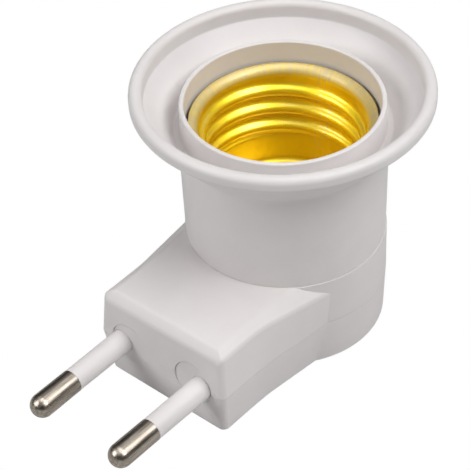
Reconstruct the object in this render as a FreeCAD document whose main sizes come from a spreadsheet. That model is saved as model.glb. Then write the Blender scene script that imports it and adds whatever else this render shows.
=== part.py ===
import FreeCAD, Part
import math
import os
import Sketcher

# Plug-in lamp holder: a two-pin mains plug body lying flat, with a lamp socket
# standing on its round end. Millimetres, +Z along the socket towards its mouth,
# origin on the socket axis at the flat underside, pins pointing along -Y.

doc = FreeCAD.newDocument("plug_in_lamp_holder")
sheet = doc.addObject("Spreadsheet::Sheet", "Sizes")
nodes = []


class Size:
    """A number together with the sheet formula that gives it."""

    def __init__(self, value, text):
        self.value = value
        self.text = text

    def __add__(self, other):
        other = as_size(other)
        return Size(self.value + other.value, f"({self.text} + {other.text})")

    def __sub__(self, other):
        other = as_size(other)
        return Size(self.value - other.value, f"({self.text} - {other.text})")

    def __mul__(self, other):
        other = as_size(other)
        return Size(self.value * other.value, f"({self.text} * {other.text})")

    def __truediv__(self, other):
        other = as_size(other)
        return Size(self.value / other.value, f"({self.text} / {other.text})")

    def __radd__(self, other):
        return as_size(other) + self

    def __rsub__(self, other):
        return as_size(other) - self

    def __rmul__(self, other):
        return as_size(other) * self

    def __neg__(self):
        return Size(-self.value, f"(-{self.text})")


def as_size(number):
    if isinstance(number, Size):
        return number
    return Size(float(number), f"({number})")


def size(alias, value, meaning):
    """One driving dimension: a row of the sheet with its alias."""
    size.row += 1
    sheet.set(f"A{size.row}", meaning)
    sheet.set(f"B{size.row}", str(value))
    sheet.setAlias(f"B{size.row}", alias)
    return Size(float(value), f"Sizes.{alias}")


size.row = 0

# Plug body, split into an upper shell and a lower cover
body_height = size("body_height", 17.0, "underside to the seat of the socket tower")
split_height = size("split_height", 8.15, "underside to the parting line")
round_end_radius = size("round_end_radius", 16.55, "round end of the plug body")
round_end_foot = size("round_end_foot", 16.2, "round end at the underside")
pin_face_reach = size("pin_face_reach", 31.3, "socket axis to the pin face at the parting line")
plug_half_width = size("plug_half_width", 13.05, "half the plug's width at the parting line")
side_draft = size("side_draft", 0.65, "how far each side leans in over one shell")
bend_start = size("bend_start", 24.0, "socket axis to the end of the straight sides")
bend_end = size("bend_end", 19.0, "socket axis to the end of the bend in the sides")
bend_split = size("bend_split", 0.3, "how far the sides bend out at the split")
bend_top = size("bend_top", 0.45, "how far the sides bend out at the top")
bend_foot = size("bend_foot", 0.15, "how far the sides bend out at the underside")
waist_split_x = size("waist_split_x", 14.75, "half width where a side meets the round end, at the split")
waist_split_y = size("waist_split_y", 7.2, "distance in front of the axis of that meeting")
waist_top_x = size("waist_top_x", 15.25, "the same half width at the top")
waist_top_y = size("waist_top_y", 6.1, "the same distance at the top")
waist_foot_x = size("waist_foot_x", 13.45, "the same half width at the underside")
waist_foot_y = size("waist_foot_y", 8.6, "the same distance at the underside")
corner_radius = size("corner_radius", 1.1, "rounding of the two upright corners")
cover_draft = size("cover_draft", 0.9, "how far each side of the cover leans in")
top_fall = size("top_fall", 0.3, "how much lower the top is where the front bevel starts")
bevel_drop = size("bevel_drop", 2.0, "height lost at the lower edge of the front bevel")
front_bevel_width = size("front_bevel_width", 1.3, "width of the front bevel seen from above")
side_bevel_width = size("side_bevel_width", 2.4, "width of the side bevels seen from above")
side_bevel_bend = size("side_bevel_bend", 0.65, "how far a side bevel has moved out at its bend")
side_bevel_spread = size("side_bevel_spread", 2.4, "how far it has moved out near the axis")
side_fall_front = size("side_fall_front", 0.6, "fall over width of a side bevel at the pin face")
side_fall_bend = size("side_fall_bend", 0.8, "the same at its bend")
side_fall_rear = size("side_fall_rear", 0.9, "the same near the axis")
edge_round = size("edge_round", 0.35, "small rounding of the outer edges")
shell_wall = size("shell_wall", 1.65, "side wall of both shells at the parting line")
front_wall = size("front_wall", 2.15, "front wall of both shells at the parting line")
roof_thickness = size("roof_thickness", 1.8, "roof of the upper shell")
floor_thickness = size("floor_thickness", 1.8, "floor of the lower cover")
fit_gap = size("fit_gap", 0.05, "clearance between pieces that fit together")
cut_margin = size("cut_margin", 2.0, "how far a cut starts outside what it cuts")
pilot_margin = size("pilot_margin", 0.3, "pilot hole deeper than its cover screw")

# Socket tower with its flared skirt, heights above the seat
tower_foot_radius = size("tower_foot_radius", 16.38, "tower where it stands on the body")
tower_top_radius = size("tower_top_radius", 16.65, "tower under the skirt")
tower_bore = size("tower_bore", 15.45, "inside of the tower")
tower_floor = size("tower_floor", 1.2, "floor of the tower")
skirt_root = size("skirt_root", 18.0, "seat to the root of the skirt")
skirt_radius = size("skirt_radius", 23.95, "outside of the skirt's rim")
rim_underside = size("rim_underside", 25.8, "seat to the underside of the rim")
rim_top = size("rim_top", 27.9, "seat to the top of the rim")
rim_width = size("rim_width", 2.15, "width of the rolled rim")
step_height = size("step_height", 25.2, "seat to the foot of the rim's inner wall")
groove_width = size("groove_width", 1.1, "width of the groove round the collar")
groove_height = size("groove_height", 19.9, "seat to the bottom of the groove")
collar_radius = size("collar_radius", 16.2, "outside of the collar's lip")
collar_top = size("collar_top", 24.7, "seat to the collar's lip")
collar_draft = size("collar_draft", 0.15, "collar's foot wider than its lip")
rim_round = size("rim_round", 1.0, "outer rounding of the rim")
rim_under_round = size("rim_under_round", 0.6, "outer rounding under the rim")
skirt_blend = size("skirt_blend", 2.5, "hollow rounding under the skirt")

# Screw shell for the lamp cap, heights above the seat
sheet_metal = size("sheet_metal", 0.35, "brass sheet of the screw shell")
shell_rim_radius = size("shell_rim_radius", 15.0, "flared rim of the screw shell")
shell_rim_height = size("shell_rim_height", 21.0, "seat to the rim of the screw shell")
thread_crest = size("thread_crest", 12.2, "inner radius over the thread crests")
thread_groove = size("thread_groove", 13.28, "inner radius in the thread grooves")
land_depth = size("land_depth", 0.05, "height worn off each crest")
thread_pitch = size("thread_pitch", 3.629, "pitch of the lamp thread")
flare_height = size("flare_height", 1.5, "height of the screw shell's flared rim")
crest_drop = size("crest_drop", 4.31, "rim of the screw shell down to the highest crest")
smooth_radius = size("smooth_radius", 12.45, "smooth wall below the thread")
contact_base_thickness = size("contact_base_thickness", 1.2, "flange of the contact base")
plate_hole = size("plate_hole", 4.8, "hole in the shell's bottom plate")

# Contacts and rivets
hub_radius = size("hub_radius", 4.4, "hub of the contact base inside the shell")
hub_rise = size("hub_rise", 0.85, "hub above the shell's bottom plate")
spigot_radius = size("spigot_radius", 4.0, "spigot of the contact base in the tower's floor")
spigot_drop = size("spigot_drop", 0.3, "spigot below the seat")
strip_metal = size("strip_metal", 0.5, "brass of the strips and the washer")
rivet_shank = size("rivet_shank", 1.15, "radius of a rivet's shank")
rivet_head = size("rivet_head", 1.7, "radius of a rivet's head")
rivet_head_height = size("rivet_head_height", 0.6, "height of a rivet's head")
rivet_face = size("rivet_face", 1.3, "radius of the flat on a rivet's head")
shell_rivet_offset = size("shell_rivet_offset", 7.2, "socket axis to each shell rivet")
contact_rise = size("contact_rise", 3.0, "centre contact's crown above the hub")
contact_width = size("contact_width", 5.0, "width of the centre contact")
contact_reach = size("contact_reach", 3.6, "length of the centre contact from the axis")
contact_foot_length = size("contact_foot_length", 2.2, "contact's foot behind the axis")
contact_bend = size("contact_bend", 0.9, "half the height of the contact's bend")
bend_ratio = size("bend_ratio", 1.05, "radius of that bend over half its height")
crown_half = size("crown_half", 1.0, "half the length of the contact's flat crown")
contact_metal = size("contact_metal", 0.35, "sheet of the centre contact")
backing_metal = size("backing_metal", 0.25, "steel of the backing spring")
backing_margin = size("backing_margin", 0.4, "backing spring narrower than the contact, each side")

# Pins, sleeves and their carrier
pin_spacing = size("pin_spacing", 16.8, "between the pin axes at the pin face")
pin_tip_spacing = size("pin_tip_spacing", 16.6, "between the pin axes at the tips")
pin_length = size("pin_length", 20.0, "pin beyond the pin face")
pin_radius = size("pin_radius", 2.0, "bare end of a pin")
pin_neck = size("pin_neck", 1.4, "pin inside its sleeve")
sleeve_length = size("sleeve_length", 11.4, "insulating sleeve beyond the pin face")
sleeve_root_radius = size("sleeve_root_radius", 1.97, "sleeve at the pin face")
sleeve_end_radius = size("sleeve_end_radius", 1.94, "sleeve where the bare metal starts")
sleeve_depth = size("sleeve_depth", 1.9, "sleeve inside the carrier's bosses")
boss_radius = size("boss_radius", 3.75, "round boss of the carrier in the pin face")
boss_inset = size("boss_inset", 1.7, "boss axis nearer the middle than the pin axis")
boss_recess = size("boss_recess", 0.3, "boss behind the pin face")
carrier_depth = size("carrier_depth", 5.0, "thickness of the carrier block")
tail_radius = size("tail_radius", 1.75, "tail flange of a pin")
tail_length = size("tail_length", 2.0, "length of the tail flange")
tap_beyond = size("tap_beyond", 2.0, "tapped hole in a pin beyond its tail flange")

# Screws
screw_shank = size("screw_shank", 0.95, "radius of a self-tapping screw")
tail_screw_shank = size("tail_screw_shank", 0.8, "radius of a pin's tail screw")
tail_screw_head = size("tail_screw_head", 1.6, "head of a pin's tail screw")
lean_gap = size("lean_gap", 0.1, "clearance beside a leaning pin's tail")
screw_head = size("screw_head", 2.2, "radius of a screw head")
screw_head_height = size("screw_head_height", 1.5, "height of a screw head")
head_face = size("head_face", 0.8, "flat of a screw head over its radius")
head_edge = size("head_edge", 0.6, "upright edge of a screw head over its height")
screw_point = size("screw_point", 0.3, "blunt point of a screw over its shank")
slot_width = size("slot_width", 0.6, "slot in a screw head")
slot_depth = size("slot_depth", 0.7, "depth of that slot")
tower_screw_offset = size("tower_screw_offset", 11.9, "socket axis to each tower screw")
tower_boss_radius = size("tower_boss_radius", 2.0, "boss of the tower round a tower screw")
tower_screw_length = size("tower_screw_length", 2.6, "tower screw under its head")
roof_hole_radius = size("roof_hole_radius", 9.2, "opening in the roof for the contacts")
pillar_radius = size("pillar_radius", 2.7, "pillar round a cover screw")
front_pillar_y = size("front_pillar_y", 17.6, "front pillar in front of the axis")
rear_pillar_x = size("rear_pillar_x", 7.4, "rear pillars beside the axis")
rear_pillar_y = size("rear_pillar_y", 9.4, "rear pillars behind the axis")
counterbore_depth = size("counterbore_depth", 3.0, "sunk hole under a cover screw")
cover_screw_length = size("cover_screw_length", 9.5, "cover screw under its head")

# Conductor strips
strip_width = size("strip_width", 4.1, "width of a strip at the pin tails")
strip_offset = size("strip_offset", 0.35, "lug set towards the middle from the pin tail")
live_width = size("live_width", 5.0, "width of the live strip under the hub")
neutral_width = size("neutral_width", 3.2, "width of the neutral strip at the rivet")
neutral_trim = size("neutral_trim", 0.2, "neutral strip cut back beside the roof opening")
neutral_lead = size("neutral_lead", 0.7, "neutral strip's rise in front of the rivet's head")
neutral_tail = size("neutral_tail", 0.3, "neutral strip's tongue behind the rivet's head")
rise_inset = size("rise_inset", 2.2, "live strip's rise inside the roof opening")
run_stagger = size("run_stagger", 1.0, "live strip's bend before and after the front pillar")
run_depth = size("run_depth", 2.9, "seat down to the underside of the strips' long runs")
lug_depth = size("lug_depth", 2.6, "lug below the pin axis")

# Places worked out from the sizes above
zero = Size(0.0, "0")
split_to_top = body_height - split_height
pin_height = split_height
front_y = -pin_face_reach
floor_top = body_height + tower_floor
plate_bottom = floor_top + contact_base_thickness
plate_top = plate_bottom + sheet_metal
hub_top = plate_top + hub_rise
strip_top = body_height - spigot_drop
cavity_half_width = plug_half_width - shell_wall
cavity_front = front_y + front_wall
cavity_radius = round_end_foot - shell_wall
roof_under = body_height - roof_thickness
boss_x = pin_spacing / 2 - boss_inset
rim_inner = skirt_radius - rim_width
groove_radius = collar_radius + groove_width
carrier_rear = cavity_front + fit_gap + carrier_depth
tail_start = carrier_rear + lean_gap
tail_end = tail_start + tail_length


def new_body(label):
    body = doc.addObject("PartDesign::Body", label)
    body.Label = label
    nodes.append(body)
    return body


def plane_of(body, role):
    for feature in body.Origin.OriginFeatures:
        if feature.Role == role:
            return feature
    raise ValueError(role)


def new_sketch(body, name, role, offset=zero):
    """An empty sketch on one of the body's own planes, moved along its normal."""
    sketch = body.newObject("Sketcher::SketchObject", name)
    sketch.AttachmentSupport = [(plane_of(body, role), "")]
    sketch.MapMode = "FlatFace"
    sketch.AttachmentOffset = FreeCAD.Placement(
        FreeCAD.Vector(0, 0, offset.value), FreeCAD.Rotation()
    )
    if offset is not zero:
        sketch.setExpression("AttachmentOffset.Base.z", offset.text)
    return sketch


def bind(sketch, index, value):
    sketch.setExpression(f"Constraints[{index}]", value.text)


def pin_point(sketch, curve, end, x, y):
    """Hold one point of a curve at a place given by two sizes."""
    for kind, value, axis in (("DistanceX", x, -2), ("DistanceY", y, -1)):
        value = as_size(value)
        if abs(value.value) < 1e-9:
            sketch.addConstraint(Sketcher.Constraint("PointOnObject", curve, end, axis))
            continue
        index = sketch.addConstraint(Sketcher.Constraint(kind, -1, 1, curve, end, value.value))
        bind(sketch, index, value)


def arc_centre(start, end, radius):
    """Centre of the arc of that radius; a negative radius turns clockwise."""
    dx, dy = end[0] - start[0], end[1] - start[1]
    chord = math.hypot(dx, dy)
    rise = math.sqrt(max(radius * radius - chord * chord / 4, 0.0))
    side = 1.0 if radius > 0 else -1.0
    return (
        (start[0] + end[0]) / 2 - side * rise * dy / chord,
        (start[1] + end[1]) / 2 + side * rise * dx / chord,
    )


def draw_outline(sketch, corners):
    """A closed outline: (x, y) corners, or (x, y, radius) where an arc leaves the corner."""
    values = [[as_size(part) for part in corner] for corner in corners]
    count = len(values)
    first = sketch.GeometryCount
    ends = []
    for place, corner in enumerate(values):
        following = values[(place + 1) % count]
        start = (corner[0].value, corner[1].value)
        end = (following[0].value, following[1].value)
        if len(corner) == 2:
            sketch.addGeometry(
                Part.LineSegment(FreeCAD.Vector(*start, 0), FreeCAD.Vector(*end, 0)), False
            )
            ends.append((1, 2))
            continue
        radius = corner[2].value
        centre = arc_centre(start, end, radius)
        circle = Part.Circle(
            FreeCAD.Vector(*centre, 0), FreeCAD.Vector(0, 0, 1), abs(radius)
        )
        angle_start = math.atan2(start[1] - centre[1], start[0] - centre[0])
        angle_end = math.atan2(end[1] - centre[1], end[0] - centre[0])
        if radius < 0:
            angle_start, angle_end = angle_end, angle_start
        sketch.addGeometry(Part.ArcOfCircle(circle, angle_start, angle_end), False)
        ends.append((1, 2) if radius > 0 else (2, 1))
    for place, corner in enumerate(values):
        curve = first + place
        following = first + (place + 1) % count
        sketch.addConstraint(
            Sketcher.Constraint(
                "Coincident", curve, ends[place][1], following, ends[(place + 1) % count][0]
            )
        )
        if len(corner) == 3:
            radius = abs(corner[2].value)
            index = sketch.addConstraint(Sketcher.Constraint("Radius", curve, radius))
            text = corner[2].text if corner[2].value > 0 else f"(-{corner[2].text})"
            sketch.setExpression(f"Constraints[{index}]", text)
    for place, corner in enumerate(values):
        pin_point(sketch, first + place, ends[place][0], corner[0], corner[1])


def draw_circle(sketch, x, y, radius):
    x, y, radius = as_size(x), as_size(y), as_size(radius)
    curve = sketch.addGeometry(
        Part.Circle(FreeCAD.Vector(x.value, y.value, 0), FreeCAD.Vector(0, 0, 1), radius.value),
        False,
    )
    index = sketch.addConstraint(Sketcher.Constraint("Radius", curve, radius.value))
    bind(sketch, index, radius)
    pin_point(sketch, curve, 3, x, y)


def solid_volume(body):
    doc.recompute()
    return body.Shape.Volume if not body.Shape.isNull() else 0.0


def pad(body, name, sketch, length, down=False):
    before = solid_volume(body)
    feature = body.newObject("PartDesign::Pad", name)
    feature.Profile = sketch
    feature.Length = length.value
    feature.setExpression("Length", length.text)
    feature.Reversed = down
    sketch.Visibility = False
    if solid_volume(body) <= before:
        raise ValueError(f"{body.Label} {name} adds nothing")
    return feature


def pocket(body, name, sketch, length, forward=False):
    """Cut a sketch out of the solid; forward cuts along the sketch's normal."""
    before = solid_volume(body)
    feature = body.newObject("PartDesign::Pocket", name)
    feature.Profile = sketch
    feature.Length = length.value
    feature.setExpression("Length", length.text)
    feature.Reversed = forward
    sketch.Visibility = False
    if solid_volume(body) >= before:
        raise ValueError(f"{body.Label} {name} cuts nothing")
    return feature


def lathe(body, name, corners):
    """A turned solid: its half section in the XZ plane, spun about Z."""
    sketch = new_sketch(body, name + "_section", "XZ_Plane")
    draw_outline(sketch, corners)
    feature = body.newObject("PartDesign::Revolution", name)
    feature.Profile = sketch
    feature.ReferenceAxis = (sketch, ["V_Axis"])
    feature.Angle = 360
    sketch.Visibility = False
    solid_volume(body)
    return feature


def ring_edges(body, rings):
    """Names of the round edges at the given (radius, height) pairs."""
    found = []
    for number, edge in enumerate(body.Shape.Edges, 1):
        curve = edge.Curve
        if not isinstance(curve, Part.Circle):
            continue
        for radius, height in rings:
            near = abs(curve.Radius - as_size(radius).value) < 0.02
            if near and abs(curve.Center.z - as_size(height).value) < 0.02:
                found.append(f"Edge{number}")
    if len(found) < len(rings):
        raise ValueError(f"{body.Label} has {len(found)} of {len(rings)} rings")
    return found


def round_off(body, name, radius, edges):
    base = body.Tip
    feature = body.newObject("PartDesign::Fillet", name)
    feature.Base = (base, edges)
    feature.Radius = radius.value
    feature.setExpression("Radius", radius.text)
    doc.recompute()
    return feature


def group(label, members):
    """Like fasteners in one node: a compound of separate solids."""
    compound = doc.addObject("Part::Compound", label)
    compound.Label = label
    compound.Links = members
    for member in members:
        nodes.remove(member)
    nodes.append(compound)
    doc.recompute()
    return compound


def place(body, x, y, z):
    """Set a body's place and tie it to the sheet."""
    body.Placement.Base = FreeCAD.Vector(x.value, y.value, z.value)
    for axis, value in (("x", x), ("y", y), ("z", z)):
        body.setExpression(f"Placement.Base.{axis}", value.text)


def plug_outline(sketch, half_width, reach, bend_rise, waist_x, waist_y):
    """Plan of the plug: straight sides that bend outwards towards the round end."""
    bend_length = bend_start - bend_end
    bend_radius = (bend_length * bend_length + bend_rise * bend_rise) / (2 * bend_rise)
    draw_outline(
        sketch,
        [
            (corner_radius - half_width, -reach),
            (half_width - corner_radius, -reach, corner_radius),
            (half_width, corner_radius - reach),
            (half_width, -bend_start, -bend_radius),
            (half_width + bend_rise, -bend_end),
            (waist_x, -waist_y),
            (-waist_x, -waist_y),
            (-half_width - bend_rise, -bend_end, -bend_radius),
            (-half_width, -bend_start),
            (-half_width, corner_radius - reach, corner_radius),
        ],
    )


def pin_face_holes(body):
    """Two round holes in the pin face, half in each shell, for the carrier's bosses."""
    sketch = new_sketch(body, "boss_hole_plan", "XZ_Plane", pin_face_reach + cut_margin)
    for side in (-1, 1):
        draw_circle(sketch, side * boss_x, split_height, boss_radius + fit_gap)
    pocket(body, "boss_holes", sketch, front_wall + 2 * cut_margin)


def cover_screw_places():
    return (
        (zero, -front_pillar_y),
        (-rear_pillar_x, rear_pillar_y),
        (rear_pillar_x, rear_pillar_y),
    )


def hollow_out(body, base, depth, upwards):
    """Leave a wall round the plug's cavity, which runs into a round one."""
    plan = new_sketch(body, "cavity_plan", "XY_Plane", base)
    draw_outline(
        plan,
        [
            (-cavity_half_width, cavity_front),
            (cavity_half_width, cavity_front),
            (cavity_half_width, zero),
            (-cavity_half_width, zero),
        ],
    )
    pocket(body, "cavity", plan, depth, forward=upwards)
    round_plan = new_sketch(body, "round_cavity_plan", "XY_Plane", base)
    draw_circle(round_plan, zero, zero, cavity_radius)
    pocket(body, "round_cavity", round_plan, depth, forward=upwards)


# Upper shell: moulded top half, with bevelled shoulders, a seat for the tower
# and three pillars for the cover screws
upper_shell = new_body("upper_shell")
upper_low = new_sketch(upper_shell, "plan_at_split", "XY_Plane", split_height)
plug_outline(
    upper_low, plug_half_width, pin_face_reach, bend_split, waist_split_x, waist_split_y
)
upper_high = new_sketch(upper_shell, "plan_at_top", "XY_Plane", body_height)
plug_outline(
    upper_high,
    plug_half_width - side_draft,
    pin_face_reach - side_draft,
    bend_top,
    waist_top_x,
    waist_top_y,
)
upper_block = upper_shell.newObject("PartDesign::AdditiveLoft", "plug_block")
upper_block.Profile = upper_low
upper_block.Sections = [upper_high]
upper_block.Ruled = True
doc.recompute()

bevel_face_lean = side_draft * (split_to_top - bevel_drop) / split_to_top
bevel_face_y = front_y + bevel_face_lean
bevel_start_y = bevel_face_y + front_bevel_width
bevel_fall = (bevel_drop - top_fall) / front_bevel_width
front_bevel = new_sketch(upper_shell, "front_bevel_section", "YZ_Plane", -2 * plug_half_width)
draw_outline(
    front_bevel,
    [
        (bevel_start_y, body_height - top_fall),
        (bevel_start_y, body_height + cut_margin),
        (bevel_face_y - cut_margin, body_height + cut_margin),
        (bevel_face_y - cut_margin, body_height - bevel_drop - cut_margin * bevel_fall),
    ],
)
pocket(upper_shell, "front_bevel", front_bevel, 4 * plug_half_width, forward=True)
top_slope = new_sketch(upper_shell, "top_slope_section", "YZ_Plane", -2 * plug_half_width)
slope_start_y = -(round_end_radius + edge_round)
draw_outline(
    top_slope,
    [
        (slope_start_y, body_height),
        (slope_start_y, body_height + cut_margin),
        (bevel_start_y, body_height + cut_margin),
        (bevel_start_y, body_height - top_fall),
    ],
)
pocket(upper_shell, "top_slope", top_slope, 4 * plug_half_width, forward=True)

bevel_root_x = plug_half_width - bevel_face_lean - side_bevel_width
for side, name in ((1, "right"), (-1, "left")):
    sections = []
    for end, reach, shift, fall in (
        ("front", pin_face_reach + cut_margin, zero, side_fall_front),
        ("bend", (bend_start + bend_end) / 2, side_bevel_bend, side_fall_bend),
        ("rear", waist_top_y / 2, side_bevel_spread, side_fall_rear),
    ):
        section = new_sketch(upper_shell, f"{name}_bevel_{end}", "XZ_Plane", reach)
        inner_x = bevel_root_x + shift
        cut_width = 4 * side_bevel_width
        draw_outline(
            section,
            [
                (side * inner_x, body_height),
                (side * (inner_x + cut_width), body_height - cut_width * fall),
                (side * (inner_x + cut_width), body_height + cut_margin),
                (side * inner_x, body_height + cut_margin),
            ],
        )
        sections.append(section)
    bevel = upper_shell.newObject("PartDesign::SubtractiveLoft", f"{name}_bevel")
    bevel.Profile = sections[0]
    bevel.Sections = sections[1:]
    bevel.Ruled = True
    doc.recompute()

upper_round = new_sketch(upper_shell, "round_end_plan", "XY_Plane", split_height)
draw_circle(upper_round, zero, zero, round_end_radius)
pad(upper_shell, "round_end", upper_round, split_to_top)
hollow_out(upper_shell, split_height, roof_under - split_height, True)

pillars = new_sketch(upper_shell, "pillar_plan", "XY_Plane", split_height)
for x, y in cover_screw_places():
    draw_circle(pillars, x, y, pillar_radius)
pad(upper_shell, "pillars", pillars, roof_under - split_height)
pilots = new_sketch(upper_shell, "pilot_plan", "XY_Plane", split_height)
for x, y in cover_screw_places():
    draw_circle(pilots, x, y, screw_shank)
pocket(
    upper_shell,
    "pilot_holes",
    pilots,
    counterbore_depth + cover_screw_length + pilot_margin - split_height,
    forward=True,
)
seat_holes = new_sketch(upper_shell, "seat_hole_plan", "XY_Plane", body_height)
draw_circle(seat_holes, zero, zero, roof_hole_radius)
for side in (-1, 1):
    draw_circle(seat_holes, side * tower_screw_offset, zero, tower_boss_radius + fit_gap)
pocket(upper_shell, "seat_holes", seat_holes, roof_thickness + cut_margin)
pin_face_holes(upper_shell)

# Lower cover: moulded bottom half with sunk holes for the cover screws
lower_cover = new_body("lower_cover")
lower_low = new_sketch(lower_cover, "plan_at_foot", "XY_Plane")
plug_outline(
    lower_low,
    plug_half_width - cover_draft,
    pin_face_reach - cover_draft,
    bend_foot,
    waist_foot_x,
    waist_foot_y,
)
lower_high = new_sketch(lower_cover, "plan_at_split", "XY_Plane", split_height)
plug_outline(
    lower_high, plug_half_width, pin_face_reach, bend_split, waist_split_x, waist_split_y
)
lower_block = lower_cover.newObject("PartDesign::AdditiveLoft", "plug_block")
lower_block.Profile = lower_low
lower_block.Sections = [lower_high]
lower_block.Ruled = True
doc.recompute()
foot_circle = new_sketch(lower_cover, "round_foot_plan", "XY_Plane")
draw_circle(foot_circle, zero, zero, round_end_foot)
split_circle = new_sketch(lower_cover, "round_split_plan", "XY_Plane", split_height)
draw_circle(split_circle, zero, zero, round_end_radius)
round_part = lower_cover.newObject("PartDesign::AdditiveLoft", "round_end")
round_part.Profile = foot_circle
round_part.Sections = [split_circle]
doc.recompute()
hollow_out(lower_cover, split_height, split_height - floor_thickness, False)
posts = new_sketch(lower_cover, "post_plan", "XY_Plane")
for x, y in cover_screw_places():
    draw_circle(posts, x, y, pillar_radius)
pad(lower_cover, "posts", posts, split_height)
screw_holes = new_sketch(lower_cover, "screw_hole_plan", "XY_Plane")
for x, y in cover_screw_places():
    draw_circle(screw_holes, x, y, screw_shank + 2 * fit_gap)
pocket(lower_cover, "screw_holes", screw_holes, split_height, forward=True)
sunk_holes = new_sketch(lower_cover, "sunk_hole_plan", "XY_Plane")
for x, y in cover_screw_places():
    draw_circle(sunk_holes, x, y, screw_head + 2 * fit_gap)
pocket(lower_cover, "sunk_holes", sunk_holes, counterbore_depth, forward=True)
pin_face_holes(lower_cover)

# Socket tower: a turned tube with a floor, a thin collar round its mouth and a
# flared skirt with a rolled rim; two bosses reach down through the body's roof
holder_tower = new_body("holder_tower")
floor_hole = spigot_radius + fit_gap
lathe(
    holder_tower,
    "tower",
    [
        (floor_hole, body_height),
        (tower_foot_radius, body_height),
        (tower_top_radius, body_height + skirt_root),
        (skirt_radius, body_height + rim_underside),
        (skirt_radius, body_height + rim_top),
        (rim_inner, body_height + rim_top),
        (rim_inner, body_height + step_height),
        (groove_radius, body_height + groove_height),
        (collar_radius + collar_draft, body_height + groove_height),
        (collar_radius, body_height + collar_top),
        (tower_bore, body_height + collar_top),
        (tower_bore, floor_top),
        (floor_hole, floor_top),
    ],
)
round_off(
    holder_tower,
    "rim_outer_rounding",
    rim_round,
    ring_edges(holder_tower, [(skirt_radius, body_height + rim_top)]),
)
round_off(
    holder_tower,
    "skirt_root_blend",
    skirt_blend,
    ring_edges(holder_tower, [(tower_top_radius, body_height + skirt_root)]),
)
round_off(
    holder_tower,
    "rim_under_rounding",
    rim_under_round,
    ring_edges(holder_tower, [(skirt_radius, body_height + rim_underside)]),
)
round_off(
    holder_tower,
    "lip_rounding",
    edge_round,
    ring_edges(
        holder_tower,
        [
            (rim_inner, body_height + rim_top),
            (rim_inner, body_height + step_height),
            (groove_radius, body_height + groove_height),
        ],
    ),
)
tower_bosses = new_sketch(holder_tower, "boss_plan", "XY_Plane", body_height)
for side in (-1, 1):
    draw_circle(tower_bosses, side * tower_screw_offset, zero, tower_boss_radius)
pad(holder_tower, "bosses", tower_bosses, roof_thickness, down=True)
tower_pilots = new_sketch(holder_tower, "boss_pilot_plan", "XY_Plane", roof_under)
for side in (-1, 1):
    draw_circle(tower_pilots, side * tower_screw_offset, zero, screw_shank)
pocket(holder_tower, "boss_pilots", tower_pilots, tower_screw_length + 2 * fit_gap, forward=True)
rivet_holes = new_sketch(holder_tower, "rivet_hole_plan", "XY_Plane", body_height)
for side in (-1, 1):
    draw_circle(rivet_holes, side * shell_rivet_offset, zero, rivet_shank + fit_gap)
pocket(holder_tower, "rivet_holes", rivet_holes, tower_floor, forward=True)

# Contact base: insulating moulding in the tower's floor, under the screw shell
contact_base = new_body("contact_base")
lathe(
    contact_base,
    "base",
    [
        (rivet_shank + fit_gap, body_height - spigot_drop),
        (spigot_radius, body_height - spigot_drop),
        (spigot_radius, floor_top),
        (tower_bore - 4 * fit_gap, floor_top),
        (tower_bore - 4 * fit_gap, plate_bottom),
        (hub_radius, plate_bottom),
        (hub_radius, hub_top),
        (rivet_shank + fit_gap, hub_top),
    ],
)
base_holes = new_sketch(contact_base, "rivet_hole_plan", "XY_Plane", plate_bottom)
for side in (-1, 1):
    draw_circle(base_holes, side * shell_rivet_offset, zero, rivet_shank + fit_gap)
pocket(contact_base, "rivet_holes", base_holes, contact_base_thickness)

# Screw shell: drawn brass cup with a rolled knuckle thread and a flared rim.
# The thread stands as rings of the right pitch and depth.
screw_shell = new_body("screw_shell")
half_pitch = thread_pitch / 2
crest_peak = thread_crest - land_depth
mid_radius = (crest_peak + thread_groove) / 2
half_depth = (thread_groove - crest_peak) / 2
knuckle = (half_pitch * half_pitch / 4 + half_depth * half_depth) / (2 * half_depth)
normal_x = (knuckle - half_depth) / knuckle
normal_z = half_pitch / (2 * knuckle)
crest_count = 3
thread_top = body_height + shell_rim_height - crest_drop + half_pitch / 2
thread_foot = thread_top - (2 * crest_count - 1) * half_pitch
flare_start = body_height + shell_rim_height - flare_height
rim_high = body_height + shell_rim_height


def thread_side(offset):
    """Points down one side of the sheet; offset runs outwards from the inner side."""
    points = []
    for step in range(2 * crest_count):
        before_crest = step % 2 == 0
        shift = offset * normal_z
        height = thread_top - step * half_pitch + (-shift if before_crest else shift)
        radius = knuckle - offset if before_crest else -(knuckle + offset)
        points.append((mid_radius + offset * normal_x, height, radius))
    points[-1] = points[-1][:2]
    return points


def turned_back(points):
    """The same points from the far end, each arc kept with the corner it leaves."""
    radii = [-point[2] for point in points[:-1]]
    back = [points[-1][:2] + (radii[-1],)]
    for place in range(len(points) - 2, 0, -1):
        back.append(points[place][:2] + (radii[place - 1],))
    back.append(points[0][:2])
    return back


inner_side = thread_side(zero)
outer_side = turned_back(thread_side(sheet_metal))
lathe(
    screw_shell,
    "shell",
    [(plate_hole, plate_bottom), (smooth_radius + sheet_metal, plate_bottom)]
    + [(smooth_radius + sheet_metal, thread_foot - half_pitch / 4)]
    + outer_side
    + [
        (thread_groove + sheet_metal, flare_start),
        (shell_rim_radius, rim_high - sheet_metal),
        (shell_rim_radius, rim_high),
        (thread_groove + sheet_metal, flare_start + 2 * sheet_metal),
        (thread_groove, flare_start),
    ]
    + inner_side
    + [(smooth_radius, thread_foot - half_pitch / 4), (smooth_radius, plate_top)]
    + [(plate_hole, plate_top)],
)
crest_lands = new_sketch(screw_shell, "crest_land_plan", "XY_Plane", thread_foot)
draw_circle(crest_lands, zero, zero, thread_crest)
pocket(screw_shell, "crest_lands", crest_lands, rim_high - thread_foot, forward=True)
shell_holes = new_sketch(screw_shell, "rivet_hole_plan", "XY_Plane", plate_top)
for side in (-1, 1):
    draw_circle(shell_holes, side * shell_rivet_offset, zero, rivet_shank + fit_gap)
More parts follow.
